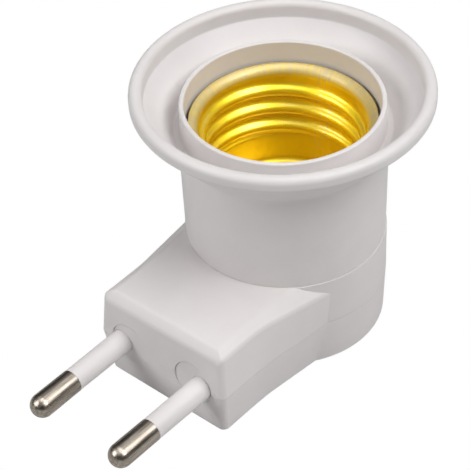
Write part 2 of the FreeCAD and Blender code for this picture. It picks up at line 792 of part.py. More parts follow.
pocket(screw_shell, "rivet_holes", shell_holes, sheet_metal)


def spring_leaf(body, foot, crown):
    """A folded leaf: a foot on the hub, a bend, and a tongue that bows up over it."""
    bend_x = contact_reach - contact_bend
    bend_top_z = foot + 2 * contact_bend
    section = new_sketch(body, "leaf_section", "XZ_Plane", -contact_width / 2)
    draw_outline(
        section,
        [
            (-contact_foot_length, foot),
            (bend_x, foot, contact_bend * bend_ratio),
            (bend_x, bend_top_z),
            (crown_half, crown),
            (-crown_half, crown),
            (-contact_reach, foot + contact_bend),
            (contact_metal - contact_reach, foot + contact_bend - contact_metal),
            (contact_metal / 2 - crown_half, crown - contact_metal),
            (crown_half - contact_metal / 2, crown - contact_metal),
            (bend_x, bend_top_z - contact_metal, (contact_metal - contact_bend) * bend_ratio),
            (bend_x, foot + contact_metal),
            (-contact_foot_length, foot + contact_metal),
        ],
    )
    pad(body, "leaf", section, contact_width)


# Centre contact and the steel leaf that backs it
backing_spring = new_body("backing_spring")
backing_half = contact_width / 2 - backing_margin
backing_plan = new_sketch(backing_spring, "backing_plan", "XY_Plane", hub_top)
draw_outline(
    backing_plan,
    [
        (-contact_reach, -backing_half),
        (contact_reach, -backing_half),
        (contact_reach, backing_half),
        (-contact_reach, backing_half),
    ],
)
draw_circle(backing_plan, zero, zero, rivet_shank + fit_gap)
pad(backing_spring, "leaf", backing_plan, backing_metal)

centre_contact = new_body("centre_contact")
contact_foot = hub_top + backing_metal
spring_leaf(centre_contact, contact_foot, hub_top + contact_rise)
contact_hole = new_sketch(centre_contact, "rivet_hole_plan", "XY_Plane", contact_foot)
draw_circle(contact_hole, zero, zero, rivet_shank + fit_gap)
pocket(centre_contact, "rivet_hole", contact_hole, contact_metal, forward=True)


def rivet(body, head_under, tail_over):
    """A tubular rivet: a domed head above, a clenched tail below."""
    lathe(
        body,
        "rivet",
        [
            (zero, tail_over - rivet_head_height),
            (rivet_face, tail_over - rivet_head_height),
            (rivet_head, tail_over),
            (rivet_shank, tail_over),
            (rivet_shank, head_under),
            (rivet_head, head_under),
            (rivet_face, head_under + rivet_head_height),
            (zero, head_under + rivet_head_height),
        ],
    )


centre_rivet = new_body("centre_rivet")
rivet(centre_rivet, contact_foot + contact_metal, strip_top - strip_metal)
shell_rivets = []
for name in ("shell_rivet_left", "shell_rivet_right"):
    member = new_body(name)
    rivet(member, plate_top, body_height - strip_metal)
    shell_rivets.append(member)
place(shell_rivets[0], -shell_rivet_offset, zero, zero)
place(shell_rivets[1], shell_rivet_offset, zero, zero)
group("shell_rivets", shell_rivets)

rivet_washer = new_body("rivet_washer")
lathe(
    rivet_washer,
    "washer",
    [
        (rivet_shank + fit_gap, body_height - strip_metal),
        (rivet_head + 2 * fit_gap, body_height - strip_metal),
        (rivet_head + 2 * fit_gap, body_height),
        (rivet_shank + fit_gap, body_height),
    ],
)
place(rivet_washer, -shell_rivet_offset, zero, zero)

# Pins: turned and plated brass, a round-ended shaft with a thinner neck under its
# sleeve and a flanged tail behind the carrier. They lean slightly together.
pin_lean = (pin_spacing - pin_tip_spacing) / 2
tail_offset = tail_start - front_y


def pin_place(body, side, beyond=zero, quarter_turns=0):
    """Put a piece on a pin's axis at that distance behind the pin face, leaning with it."""
    x = side * (pin_spacing / 2 + pin_lean * beyond / pin_length)
    place(body, x, front_y + beyond, pin_height)
    angle = math.degrees(math.atan(pin_lean.value / pin_length.value))
    lean = FreeCAD.Rotation(FreeCAD.Vector(0, 0, 1), side * -angle)
    if quarter_turns == 0:
        body.Placement.Rotation = lean
        text = f"({-side}) * atan({pin_lean.text} / {pin_length.text})"
        body.setExpression("Placement.Rotation.Angle", text)
        return
    turn = FreeCAD.Rotation(FreeCAD.Vector(1, 0, 0), 90 * quarter_turns)
    body.Placement.Rotation = lean.multiply(turn)


def along_pin(body, name, corners):
    """A turned solid about the pin axis: section in the XY plane, spun about Y."""
    sketch = new_sketch(body, name + "_section", "XY_Plane")
    draw_outline(sketch, corners)
    feature = body.newObject("PartDesign::Revolution", name)
    feature.Profile = sketch
    feature.ReferenceAxis = (sketch, ["V_Axis"])
    feature.Angle = 360
    sketch.Visibility = False
    doc.recompute()


tapped_depth = tail_length + tap_beyond
for side, name in ((-1, "left"), (1, "right")):
    pin = new_body("pin_" + name)
    along_pin(
        pin,
        "pin",
        [
            (zero, -pin_length, pin_radius),
            (pin_radius, pin_radius - pin_length),
            (pin_radius, -sleeve_length),
            (pin_neck, -sleeve_length),
            (pin_neck, tail_offset),
            (tail_radius, tail_offset),
            (tail_radius, tail_offset + tail_length),
            (tail_screw_shank, tail_offset + tail_length),
            (tail_screw_shank, tail_offset + tail_length - tapped_depth),
            (zero, tail_offset + tail_length - tapped_depth),
        ],
    )
    pin_place(pin, side)
    sleeve = new_body("pin_sleeve_" + name)
    along_pin(
        sleeve,
        "sleeve",
        [
            (pin_neck, -sleeve_length),
            (sleeve_end_radius, -sleeve_length),
            (sleeve_root_radius, -fit_gap),
            (sleeve_root_radius, sleeve_depth),
            (pin_neck, sleeve_depth),
        ],
    )
    pin_place(sleeve, side)

# Pin carrier: moulded block across the plug's nose, with two round bosses that
# show in the pin face and hold the pins
pin_carrier = new_body("pin_carrier")
carrier_plan = new_sketch(pin_carrier, "carrier_plan", "XY_Plane", floor_thickness + fit_gap)
carrier_half = cavity_half_width - 3 * fit_gap
draw_outline(
    carrier_plan,
    [
        (-carrier_half, cavity_front + fit_gap),
        (carrier_half, cavity_front + fit_gap),
        (carrier_half, carrier_rear),
        (-carrier_half, carrier_rear),
    ],
)
pad(pin_carrier, "block", carrier_plan, roof_under - floor_thickness - 2 * fit_gap)
boss_plan = new_sketch(pin_carrier, "boss_plan", "XZ_Plane", -(cavity_front + fit_gap))
for side in (-1, 1):
    draw_circle(boss_plan, side * boss_x, split_height, boss_radius)
pad(pin_carrier, "bosses", boss_plan, cavity_front + fit_gap - front_y - boss_recess)
for side, name in ((-1, "left"), (1, "right")):
    for bore, radius, near, far in (
        ("sleeve", sleeve_root_radius + fit_gap, -cut_margin, sleeve_depth),
        ("neck", pin_neck + fit_gap, zero, tail_offset + cut_margin),
    ):
        hole = pin_carrier.newObject("PartDesign::SubtractiveCylinder", f"{name}_{bore}_bore")
        hole.Radius = radius.value
        hole.setExpression("Radius", radius.text)
        length = far - near
        hole.Height = length.value
        hole.setExpression("Height", length.text)
        angle = math.degrees(math.atan(pin_lean.value / pin_length.value))
        lean = FreeCAD.Rotation(FreeCAD.Vector(0, 0, 1), side * -angle)
        turn = lean.multiply(FreeCAD.Rotation(FreeCAD.Vector(1, 0, 0), -90))
        start = lean.multVec(FreeCAD.Vector(0, near.value, 0))
        hole.Placement = FreeCAD.Placement(
            start + FreeCAD.Vector(side * pin_spacing.value / 2, front_y.value, pin_height.value),
            turn,
        )
        doc.recompute()


def turned_screw(body, shank, length, head):
    """A pan-head screw standing on its head, shank upwards from the origin."""
    lathe(
        body,
        "screw",
        [
            (zero, -screw_head_height),
            (head * head_face, -screw_head_height),
            (head, -screw_head_height * head_edge),
            (head, zero),
            (shank, zero),
            (shank, length - shank),
            (shank * screw_point, length),
            (zero, length),
        ],
    )
    slot = new_sketch(body, "slot_plan", "XY_Plane", -screw_head_height)
    half_slot = slot_width / 2
    draw_outline(
        slot,
        [
            (-2 * head, -half_slot),
            (2 * head, -half_slot),
            (2 * head, half_slot),
            (-2 * head, half_slot),
        ],
    )
    pocket(body, "slot", slot, slot_depth, forward=True)


# Screws: two under the roof hold the tower, three in sunk holes hold the cover,
# and two clamp the strips to the pin tails
tower_screws = []
for side, name in ((-1, "left"), (1, "right")):
    screw = new_body("tower_screw_" + name)
    turned_screw(screw, screw_shank, tower_screw_length, screw_head)
    place(screw, side * tower_screw_offset, zero, roof_under)
    tower_screws.append(screw)
group("tower_screws", tower_screws)

cover_screws = []
for number, (x, y) in enumerate(cover_screw_places()):
    screw = new_body(f"cover_screw_{number}")
    turned_screw(screw, screw_shank, cover_screw_length, screw_head)
    place(screw, x, y, counterbore_depth)
    cover_screws.append(screw)
group("cover_screws", cover_screws)

lug_front = tail_end + lean_gap
lug_rear = lug_front + strip_metal
washer_front = lug_rear + lean_gap - front_y
washer_rear = washer_front + strip_metal
tail_x = pin_spacing / 2 + pin_lean * (lug_rear - front_y) / pin_length
tail_screws = []
for side, name in ((-1, "left"), (1, "right")):
    screw = new_body("tail_screw_" + name)
    turned_screw(screw, tail_screw_shank, tapped_depth, tail_screw_head)
    pin_place(screw, side, washer_rear, 1)
    tail_screws.append(screw)
group("tail_screws", tail_screws)

tail_washers = []
for side, name in ((-1, "left"), (1, "right")):
    washer = new_body("tail_washer_" + name)
    lathe(
        washer,
        "washer",
        [
            (tail_screw_shank + fit_gap, zero),
            (tail_radius, zero),
            (tail_radius, strip_metal),
            (tail_screw_shank + fit_gap, strip_metal),
        ],
    )
    pin_place(washer, side, washer_rear, 1)
    tail_washers.append(washer)
group("tail_washers", tail_washers)

# Conductor strips: folded brass, from a lug on each pin tail along under the roof,
# then up through the roof opening to a rivet
run_bottom = body_height - run_depth
lug_x = tail_x - strip_offset
lug_half = strip_width / 2


def strip_lug(body, side):
    """The upright lug behind a pin tail, with its screw hole."""
    inner = lug_x - strip_width / 2
    outer = lug_x + strip_width / 2
    lug = new_sketch(body, "lug_plan", "XY_Plane", run_bottom)
    draw_outline(
        lug,
        [
            (side * inner, lug_front),
            (side * outer, lug_front),
            (side * outer, lug_rear),
            (side * inner, lug_rear),
        ],
    )
    pad(body, "lug", lug, run_bottom - pin_height + lug_depth, down=True)
    hole = new_sketch(body, "lug_hole_plan", "XZ_Plane", cut_margin - lug_front)
    draw_circle(hole, side * tail_x, pin_height, tail_screw_shank + lean_gap)
    pocket(body, "lug_hole", hole, strip_metal + 2 * cut_margin)


live_strip = new_body("live_strip")
live_half = live_width / 2
rise_front = rise_inset - roof_hole_radius
live_run = new_sketch(live_strip, "run_plan", "XY_Plane", run_bottom)
draw_outline(
    live_run,
    [
        (-lug_x - lug_half, lug_front),
        (-lug_x + lug_half, lug_front),
        (-lug_x + lug_half, -front_pillar_y + pillar_radius + run_stagger),
        (live_half, rise_front),
        (-live_half, rise_front),
        (-lug_x - lug_half, -front_pillar_y + pillar_radius - run_stagger),
    ],
)
pad(live_strip, "run", live_run, strip_metal)
live_rise = new_sketch(live_strip, "rise_plan", "XY_Plane", run_bottom)
draw_outline(
    live_rise,
    [
        (-live_half, rise_front - strip_metal),
        (live_half, rise_front - strip_metal),
        (live_half, rise_front),
        (-live_half, rise_front),
    ],
)
pad(live_strip, "rise", live_rise, strip_top - run_bottom)
live_tongue = new_sketch(live_strip, "tongue_plan", "XY_Plane", strip_top)
draw_outline(
    live_tongue,
    [
        (-live_half, rise_front - strip_metal),
        (live_half, rise_front - strip_metal),
        (live_half, live_half),
        (-live_half, live_half),
    ],
)
draw_circle(live_tongue, zero, zero, rivet_shank + fit_gap)
pad(live_strip, "tongue", live_tongue, strip_metal, down=True)
strip_lug(live_strip, -1)

neutral_strip = new_body("neutral_strip")
neutral_inner = shell_rivet_offset - neutral_width / 2
neutral_outer = shell_rivet_offset + neutral_width / 2 - neutral_trim
neutral_front = -(rivet_head + neutral_lead)
neutral_run = new_sketch(neutral_strip, "run_plan", "XY_Plane", run_bottom)
draw_outline(
    neutral_run,
    [
        (lug_x - lug_half, lug_front),
        (lug_x + lug_half, lug_front),
        (lug_x + lug_half, -front_pillar_y + pillar_radius),
        (neutral_outer, -roof_hole_radius),
        (neutral_outer, neutral_front),
        (neutral_inner, neutral_front),
        (neutral_inner, -roof_hole_radius),
        (lug_x - lug_half, -front_pillar_y + pillar_radius),
    ],
)
pad(neutral_strip, "run", neutral_run, strip_metal)
neutral_rise = new_sketch(neutral_strip, "rise_plan", "XY_Plane", run_bottom)
draw_outline(
    neutral_rise,
    [
        (neutral_inner, neutral_front - strip_metal),
        (neutral_outer, neutral_front - strip_metal),
        (neutral_outer, neutral_front),
        (neutral_inner, neutral_front),
    ],
)
pad(neutral_strip, "rise", neutral_rise, body_height - run_bottom)
neutral_tongue = new_sketch(neutral_strip, "tongue_plan", "XY_Plane", body_height)
draw_outline(
    neutral_tongue,
    [
        (neutral_inner, neutral_front - strip_metal),
        (neutral_outer, neutral_front - strip_metal),
        (neutral_outer, rivet_head + neutral_tail),
        (neutral_inner, rivet_head + neutral_tail),
    ],
)
draw_circle(neutral_tongue, shell_rivet_offset, zero, rivet_shank + fit_gap)
pad(neutral_strip, "tongue", neutral_tongue, strip_metal, down=True)
strip_lug(neutral_strip, 1)

# Check every object and every piece, then write the pieces
doc.recompute()
for item in doc.Objects:
    if "Invalid" in item.State or "Error" in item.State:
        raise ValueError(f"{item.Name} is {item.State}")
for node in nodes:
    if node.Shape.isNull() or not node.Shape.isValid():
        raise ValueError(f"{node.Label} has no valid shape")
os.makedirs("parts", exist_ok=True)
for node in nodes:
    node.Shape.exportStep(f"parts/{node.Label}.step")
    print(node.Label, len(node.Shape.Solids), round(node.Shape.Volume, 2))
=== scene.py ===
import math

import bmesh
import bpy
from mathutils import Matrix, Vector


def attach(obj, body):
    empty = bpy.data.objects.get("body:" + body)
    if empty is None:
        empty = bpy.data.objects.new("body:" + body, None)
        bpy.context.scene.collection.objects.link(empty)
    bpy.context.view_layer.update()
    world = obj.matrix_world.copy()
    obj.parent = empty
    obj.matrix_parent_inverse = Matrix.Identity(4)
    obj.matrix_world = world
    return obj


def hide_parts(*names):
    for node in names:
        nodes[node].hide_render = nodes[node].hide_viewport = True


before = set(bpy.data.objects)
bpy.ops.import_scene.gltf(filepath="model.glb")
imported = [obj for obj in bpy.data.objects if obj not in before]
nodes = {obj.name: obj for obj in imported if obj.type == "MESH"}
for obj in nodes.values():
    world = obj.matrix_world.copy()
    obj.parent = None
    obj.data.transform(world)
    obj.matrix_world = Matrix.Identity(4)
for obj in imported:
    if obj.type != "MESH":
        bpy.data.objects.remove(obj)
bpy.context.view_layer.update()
MM = 0.001

# Plug body: two halves moulded in white plastic that meet at a parting line. The
# upper one has bevelled, softly rounded shoulders, and the lower one is a cover held
# by screws from below. The plastic is slightly glossy and a little uneven in shade.
TOP_HEIGHT = 17.0
SEAT = TOP_HEIGHT * MM
PARTING_HEIGHT = 8.15
FACE_REACH = 31.3
CORNER = 1.1
BOSS_X = 6.7
BOSS_HOLE = 3.8
BEND_START = -24.0
BEND_LENGTH = 5.0
BEND_END = BEND_START + BEND_LENGTH
TOP_FRONT = -29.497
SLOPE_START = -16.9
SLOPE_FALL = 0.3
FRONT_BEVEL_FALL = 1.308
SIDE_BEVEL = ((-33.3, 10.147, 0.6), (-21.5, 10.797, 0.8), (-3.05, 12.547, 0.9))
CAVITY_X = 11.4
CAVITY_FRONT = -29.15
CAVITY_ROOF = 15.2
FOOT_STEP = 0.06
EDGE_SOFTNESS = 0.6
INNER_SOFTNESS = 0.45
ROUND_END_STEPS = 192
ROUND_END = (
    (14.9, PARTING_HEIGHT),
    (16.43, PARTING_HEIGHT),
    (16.55, PARTING_HEIGHT + 0.12),
    (16.55, 16.85),
    (16.42, 16.99),
    (4.1, 16.99),
    (4.1, CAVITY_ROOF),
    (14.9, CAVITY_ROOF),
)


def noise(tree, scale, detail):
    """A cloudy pattern of the given fineness."""
    node = tree.nodes.new("ShaderNodeTexNoise")
    node.inputs["Scale"].default_value = scale
    node.inputs["Detail"].default_value = detail
    return node


def shades(tree, dark, light, start=0.35, end=0.65):
    """A colour that goes from dark to light as its value goes from start to end."""
    node = tree.nodes.new("ShaderNodeValToRGB")
    node.color_ramp.elements[0].position = start
    node.color_ramp.elements[0].color = (*dark, 1)
    node.color_ramp.elements[1].position = end
    node.color_ramp.elements[1].color = (*light, 1)
    return node


def spread(tree, low, high, start=0.0, end=1.0, smooth=False):
    """A number that goes from low to high as its value goes from start to end."""
    node = tree.nodes.new("ShaderNodeMapRange")
    if smooth:
        node.interpolation_type = "SMOOTHSTEP"
    node.inputs["From Min"].default_value = start
    node.inputs["From Max"].default_value = end
    node.inputs["To Min"].default_value = low
    node.inputs["To Max"].default_value = high
    return node


def relief(tree, strength, depth):
    """Fine relief of the surface, with its depth in millimetres."""
    node = tree.nodes.new("ShaderNodeBump")
    node.inputs["Strength"].default_value = strength
    node.inputs["Distance"].default_value = depth * MM
    return node


def connect(tree, links):
    """Links each output to the input beside it."""
    for output, target in links:
        tree.links.new(output, target)


plastic = bpy.data.materials.new("white moulded plastic")
plastic.use_nodes = True
plastic_tree = plastic.node_tree
plastic_shader = plastic_tree.nodes["Principled BSDF"]
plastic_shader.inputs["Specular IOR Level"].default_value = 0.45
plastic_place = plastic_tree.nodes.new("ShaderNodeTexCoord")
plastic_cloud = noise(plastic_tree, 160.0, 4.0)
plastic_gloss = spread(plastic_tree, 0.36, 0.50)
plastic_tint = shades(plastic_tree, (0.790, 0.757, 0.750), (0.817, 0.786, 0.780), 0.3, 0.7)
plastic_grain = noise(plastic_tree, 2600.0, 2.0)
plastic_relief = relief(plastic_tree, 0.12, 0.05)
connect(
    plastic_tree,
    (
        (plastic_place.outputs["Object"], plastic_cloud.inputs["Vector"]),
        (plastic_cloud.outputs["Fac"], plastic_gloss.inputs["Value"]),
        (plastic_gloss.outputs["Result"], plastic_shader.inputs["Roughness"]),
        (plastic_cloud.outputs["Fac"], plastic_tint.inputs["Fac"]),
        (plastic_tint.outputs["Color"], plastic_shader.inputs["Base Color"]),
        (plastic_place.outputs["Object"], plastic_grain.inputs["Vector"]),
        (plastic_grain.outputs["Fac"], plastic_relief.inputs["Height"]),
        (plastic_relief.outputs["Normal"], plastic_shader.inputs["Normal"]),
    ),
)


def joined_copy(node, material):
    """A copy of a CAD node with its loose triangles joined and its flats merged."""
    piece = bpy.data.objects.new(node + "_finished", nodes[node].data.copy())
    bpy.context.scene.collection.objects.link(piece)
    piece.data.materials.clear()
    piece.data.materials.append(material)
    work = bmesh.new()
    work.from_mesh(piece.data)
    bmesh.ops.remove_doubles(work, verts=work.verts, dist=0.002 * MM)
    bmesh.ops.dissolve_limit(
        work, angle_limit=math.radians(0.3), verts=work.verts, edges=work.edges
    )
    for face in work.faces:
        face.smooth = True
    for edge in work.edges:
        edge.smooth = edge.calc_face_angle(0.0) < math.radians(25)
    work.to_mesh(piece.data)
    work.free()
    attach(piece, "root")
    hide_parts(node)
    return piece


def spun(work, section, base, steps, closed=True):
    """Spins (x, z) points, in millimetres above a base, right round the Z axis."""
    ring = [work.verts.new((x * MM, 0, base + z * MM)) for x, z in section]
    pairs = list(zip(ring, ring[1:]))
    if closed:
        pairs.append((ring[-1], ring[0]))
    edges = [work.edges.new(pair) for pair in pairs]
    bmesh.ops.spin(
        work,
        geom=ring + edges,
        cent=(0, 0, 0),
        axis=(0, 0, 1),
        dvec=(0, 0, 0),
        angle=math.tau,
        steps=steps,
        use_merge=True,
        use_duplicate=False,
    )
    bmesh.ops.remove_doubles(work, verts=work.verts, dist=0.001 * MM)


def made_piece(name, work, material, sharp_from=180):
    """The object of a bmesh, shaded smooth but for edges sharper than some degrees."""
    bmesh.ops.recalc_face_normals(work, faces=work.faces)
    for face in work.faces:
        face.smooth = True
    for edge in work.edges:
        edge.smooth = edge.calc_face_angle(0.0) < math.radians(sharp_from)
    mesh = bpy.data.meshes.new(name)
    work.to_mesh(mesh)
    work.free()
    piece = bpy.data.objects.new(name, mesh)
    bpy.context.scene.collection.objects.link(piece)
    mesh.materials.append(material)
    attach(piece, "root")
    return piece


def shade_evenly(piece):
    """Lets the large flat faces of a piece rule the shading of its soft edges."""
    normals = piece.modifiers.new("even shading", "WEIGHTED_NORMAL")
    normals.keep_sharp = True


def side_x(y, half_width, outward, waist_x, waist_y):
    """Half width of the plan at y: straight, an outward bend, then straight to the waist."""
    if y < BEND_START:
        return half_width
    if y < BEND_END:
        radius = (BEND_LENGTH**2 + outward * outward) / (2 * outward)
        return half_width + radius - math.sqrt(radius**2 - (y - BEND_START) ** 2)
    share = (y - BEND_END) / (-BEND_END - waist_y)
    return half_width + outward + (waist_x - half_width - outward) * share


def half_plan(half_width, reach, outward, waist_x, waist_y):
    """Right half of the plan in millimetres, from the middle of the pin face to the back."""
    flat = half_width - CORNER
    hole_end = BOSS_X + BOSS_HOLE
    points = [(0.0, -reach), (1.0, -reach), (2.0, -reach)]
    for step in range(25):
        turn = math.pi * (1 - step / 24)
        points.append((BOSS_X + BOSS_HOLE * math.cos(turn), -reach))
    for step in range(1, 4):
        points.append((hole_end + (flat - hole_end) * step / 3, -reach))
    for step in range(1, 11):
        turn = math.radians(90 * step / 10)
        points.append((flat + CORNER * math.sin(turn), CORNER - reach - CORNER * math.cos(turn)))
    straight = CORNER - reach
    side = [straight + (BEND_START - straight) * step / 8 for step in range(1, 9)]
    side += [BEND_START + BEND_LENGTH * step / 10 for step in range(1, 11)]
    side += [-18.0, SLOPE_START, -16.0, -14.0, -12.0, -10.0, -8.0, -6.0, -4.0]
    return points + [(side_x(y, half_width, outward, waist_x, waist_y), y) for y in side]


def top_height(y):
    """Height of the upper moulding's top, which falls a little towards the pins."""
    return TOP_HEIGHT - SLOPE_FALL * max(SLOPE_START - y, 0.0) / (SLOPE_START - TOP_FRONT)


def shoulder(y):
    """Where the side bevel starts at y, and how far it falls for each millimetre."""
    front, middle, back = SIDE_BEVEL
    first, last = (front, middle) if y < middle[0] else (middle, back)
    share = (y - first[0]) / (last[0] - first[0])
    return first[1] + (last[1] - first[1]) * share, first[2] + (last[2] - first[2]) * share


def softened(first, corner, last, steps=4):
    """A rounded corner: a smooth curve from the first point to the last."""
    return [
        first.lerp(corner, step / steps).lerp(corner.lerp(last, step / steps), step / steps)
        for step in range(steps + 1)
    ]


def block_profile(low, high):
    """One upright line round the moulding, from its cavity out and up to its top."""
    x, y = low
    foot = PARTING_HEIGHT
    if abs(x - BOSS_X) < BOSS_HOLE:
        foot += math.sqrt(BOSS_HOLE**2 - (x - BOSS_X) ** 2)
    inner = Vector((min(x, CAVITY_X), max(y, CAVITY_FRONT), foot))

    def wall(z):
        share = (z - PARTING_HEIGHT) / (TOP_HEIGHT - PARTING_HEIGHT)
        return Vector((x + (high[0] - x) * share, y + (high[1] - y) * share, z))

    # The wall leans, so the height at which it meets the bevels is closed in on.
    edge = wall(CAVITY_ROOF)
    for _ in range(20):
        start_x, fall = shoulder(edge.y)
        front = top_height(TOP_FRONT) + (edge.y - TOP_FRONT) * FRONT_BEVEL_FALL
        edge = wall(min(TOP_HEIGHT - (edge.x - start_x) * fall, front))
    ends = []
    for inset in (0.0, INNER_SOFTNESS):
        end_y = max(edge.y, inset + TOP_FRONT)
        start_x, fall = shoulder(end_y)
        end_x = start_x + (TOP_HEIGHT - top_height(end_y)) / fall - inset
        ends.append(Vector((min(edge.x, end_x), end_y, top_height(end_y))))
    root, last = ends
    up_bevel = (root - edge).normalized()
    down_wall = (wall(foot) - edge).normalized()
    into = FOOT_STEP * Vector((x - inner.x, y - inner.y, 0)).normalized()
    points = [Vector((inner.x, inner.y, CAVITY_ROOF)), inner]
    points += [wall(foot) - into, wall(foot + FOOT_STEP)]
    points += softened(edge + down_wall * EDGE_SOFTNESS, edge, edge + up_bevel * EDGE_SOFTNESS)
    points += softened(root - up_bevel * INNER_SOFTNESS, root, last)
    return points


# Half width, reach, outward bend and the waist's half width and distance of the plan,
# first at the parting line and then at the top, because the sides lean inwards.
low_plan = half_plan(13.05, FACE_REACH, 0.3, 14.75, 7.2)
high_plan = half_plan(12.4, 30.65, 0.45, 15.25, 6.1)
lines = [block_profile(low, high) for low, high in zip(low_plan, high_plan)]
lines += [[Vector((-p.x, p.y, p.z)) for p in line] for line in lines[:0:-1]]

# The cavity's roof comes first. Its outline then grows level by level, down the cavity
# and up the outer wall, until the top closes it.
upper_work = bmesh.new()
row = [upper_work.verts.new(line[0] * MM) for line in lines]
loop = [upper_work.edges.new(pair) for pair in zip(row, row[1:] + row[:1])]
bmesh.ops.contextual_create(upper_work, geom=loop)
for level in range(1, len(lines[0])):
    grown = bmesh.ops.extrude_edge_only(upper_work, edges=loop)["geom"]
    loop = [part for part in grown if isinstance(part, bmesh.types.BMEdge)]
    fresh = {part for part in grown if isinstance(part, bmesh.types.BMVert)}
    row = [
        next(e.other_vert(vert) for e in vert.link_edges if e.other_vert(vert) in fresh)
        for vert in row
    ]
    for vert, line in zip(row, lines):
        vert.co = line[level] * MM
bmesh.ops.contextual_create(upper_work, geom=loop)
slope_ends = [vert for vert in row if abs(vert.co.y - SLOPE_START * MM) < 0.001 * MM]
bmesh.ops.connect_verts(upper_work, verts=slope_ends)
spun(upper_work, ROUND_END, 0.0, ROUND_END_STEPS)
bmesh.ops.dissolve_degenerate(upper_work, edges=upper_work.edges, dist=0.001 * MM)
upper = made_piece("upper_moulding", upper_work, plastic, sharp_from=50)
shade_evenly(upper)
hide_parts("upper_shell")
joined_copy("lower_cover", plastic)

# Socket tower: one white moulding, screwed to the body from inside. A tube opens into
# a flared skirt with a rolled rim, and a thin collar stands round its mouth with a deep
# groove outside it. Its corners are listed as x, z and how far they are rounded.
TOWER_STEPS = 256
TOWER_SECTION = (
    (4.05, 0.0, 0.0),
    (16.38, 0.0, 0.12),
    (16.65, 18.0, 2.5),
    (23.94, 25.8, 0.7),
    (23.94, 27.9, 1.05),
    (21.8, 27.9, 0.95),
    (21.8, 25.2, 0.5),
    (17.3, 19.9, 0.45),
    (16.35, 19.9, 0.35),
    (16.2, 24.7, 0.25),
    (15.45, 24.7, 0.25),
    (15.45, 1.2, 0.3),
    (4.05, 1.2, 0.0),
)


def rounded_section(corners, steps):
    """Points of a closed section with each (x, z, radius) corner turned into an arc."""
    points = []
    for place, (x, z, radius) in enumerate(corners):
        corner = Vector((x, z))
        if radius == 0.0:
            points.append(corner)
            continue
        before = Vector(corners[place - 1][:2])
        after = Vector(corners[(place + 1) % len(corners)][:2])
        inward = (before - corner).normalized()
        outward = (after - corner).normalized()
        half = inward.angle(outward) / 2
        reach = radius / math.tan(half)
        centre = corner + (inward + outward).normalized() * (radius / math.sin(half))
        start = corner + inward * reach - centre
        end = corner + outward * reach - centre
        sweep = start.angle_signed(end)
        for step in range(steps + 1):
            turned = start.copy()
            turned.rotate(Matrix.Rotation(-sweep * step / steps, 2))
            points.append(centre + turned)
    return points


def turned_piece(name, section, base, material, steps, closed=True):
    """A solid piece spun about the Z axis, with soft edges."""
    work = bmesh.new()
    spun(work, section, base, steps, closed)
    piece = made_piece(name, work, material, sharp_from=35)
    shade_evenly(piece)
    return piece


tower_section = rounded_section(TOWER_SECTION, 6)
tower = turned_piece("socket_tower", tower_section, SEAT, plastic, TOWER_STEPS)
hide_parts("holder_tower")

# Screw shell: a cup drawn from thin brass and riveted to the base, with a right-hand
# knuckle thread rolled into its wall and a bell-mouthed rim. It is bright and yellow,
# with a pale rim that is partly scuffs and partly painted highlight, and fine lines
# round the wall from the tools.
SHELL_SHEET = 0.35
SHELL_STEPS = 192
WALL_ROWS = 128
LIP_RADIUS = 1.6
LIP_HEIGHT = 19.45
MOUTH_RADIUS = 13.35
FOOT_RADIUS = 1.0
FOOT_HEIGHT = 3.75
SMOOTH_RADIUS = 12.45
SHELL_FLOOR = 2.75
FLOOR_MIDDLE = 8.0
FLOOR_HOLE = 4.8
THREAD_PITCH = 3.629
CREST_RADIUS = 12.2
GROOVE_RADIUS = 13.28
KNUCKLE = 1.032
TOP_CREST = 16.79
TOP_CREST_ANGLE = math.radians(133)
THREAD_RUN_OUT = math.radians(40)
THREAD_TOP = 20.0
THREAD_FOOT = 8.1
THREAD_FADE = 1.2

gold = bpy.data.materials.new("bright drawn brass")
gold.use_nodes = True
gold_tree = gold.node_tree
gold_shader = gold_tree.nodes["Principled BSDF"]
gold_shader.inputs["Metallic"].default_value = 1.0
gold_shader.inputs["Coat IOR"].default_value = 1.6
gold_shader.inputs["Coat Roughness"].default_value = 0.17


def gold_sum(operation, second=None, third=None):
    """A sum in the brass, whose first number is linked to it."""
    node = gold_tree.nodes.new("ShaderNodeMath")
    node.operation = operation
    if second is not None:
        node.inputs[1].default_value = second
    if third is not None:
        node.inputs[2].default_value = third
    return node


# Fine streaks run round the wall, long against their height, and patches vary its tint.
gold_place = gold_tree.nodes.new("ShaderNodeTexCoord")
gold_split = gold_tree.nodes.new("ShaderNodeSeparateXYZ")
gold_angle = gold_sum("ARCTAN2")
gold_long = gold_sum("MULTIPLY", 38.0)
gold_tall = gold_sum("MULTIPLY", 300.0)
gold_streaks_at = gold_tree.nodes.new("ShaderNodeCombineXYZ")
gold_streaks = noise(gold_tree, 1.0, 3.0)
gold_patches = noise(gold_tree, 230.0, 3.0)
gold_tint = shades(gold_tree, (0.93, 0.69, 0.012), (0.95, 0.72, 0.026))
gold_rough = spread(gold_tree, 0.42, 0.52)
gold_relief = relief(gold_tree, 0.6, 0.05)
# The rim is duller and scuffed, and has less of the bright top coat. Its paler colour
# is partly the scuffs and partly a painted highlight on the bell mouth.
gold_rim = spread(gold_tree, 0.0, 1.0, SEAT + 19.3 * MM, SEAT + 20.4 * MM, smooth=True)
gold_scuffs_and_sheen = spread(gold_tree, 0.6, 1.0, 0.36, 0.64)
gold_share = gold_sum("MULTIPLY")
gold_coat = gold_sum("MULTIPLY_ADD", -0.6, 1.0)
gold_dull = gold_sum("MULTIPLY_ADD", 0.2)
